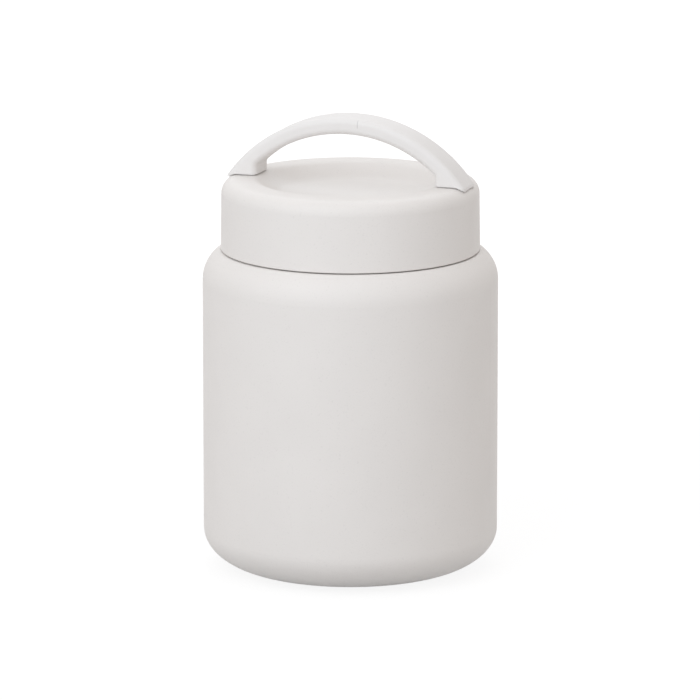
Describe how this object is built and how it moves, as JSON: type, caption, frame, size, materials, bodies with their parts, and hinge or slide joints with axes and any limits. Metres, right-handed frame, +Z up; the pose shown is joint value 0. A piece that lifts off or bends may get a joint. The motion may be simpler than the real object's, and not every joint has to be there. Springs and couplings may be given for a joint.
{
  "type": "insulated food jar",
  "caption": "Round vacuum-walled steel food jar with a wide threaded mouth and a dished screw lid that carries a fixed arched handle.",
  "frame": {"origin": "centre of the base, on the surface that the jar stands on", "axes": "+Z up the axis of the jar, +X along the span of the handle with the lid closed"},
  "size_m": [0.096, 0.096, 0.1492],
  "materials": {
    "coated_steel": "matte",
    "coated_lid": "matte",
    "handle_plastic": "matte",
    "inner_cap_plastic": "satin",
    "liner_steel": "satin",
    "screw_steel": "satin",
    "gasket_silicone": "satin",
    "pad_silicone": "matte",
    "copper": "polished",
    "getter_metal": "matte",
    "solder_glass": "gloss",
    "foam": "matte"
  },
  "bodies": {
    "jar": {"outer_shell": "coated_steel", "inner_wall": "liner_steel", "inner_bottom": "liner_steel", "base_pan": "liner_steel", "vacuum_plug": "solder_glass", "base_cover": "liner_steel", "base_pad": "pad_silicone", "copper_foil": "copper", "getter_cup": "liner_steel", "getter": "getter_metal"},
    "seal_lift": {"lid_gasket": "gasket_silicone"},
    "lid": {"lid_shell": "coated_lid", "lid_liner": "inner_cap_plastic", "lid_foam": "foam", "handle": "handle_plastic", "handle_screws": "screw_steel", "handle_washers": "screw_steel"}
  },
  "joints": [
    {"name": "lid_lift", "type": "slide", "parent": "jar", "child": "seal_lift", "axis": [0, 0, 1], "range_m": [0, 0.0361]},
    {"name": "lid_turn", "type": "hinge", "parent": "seal_lift", "child": "lid", "pos_m": [0, 0, 0.12], "axis": [0, 0, 1], "range_deg": [0, 540]}
  ],
  "couplings": [
    {"joint": "lid_lift", "follows": "lid_turn", "m_per_rad": 0.0038197}
  ]
}
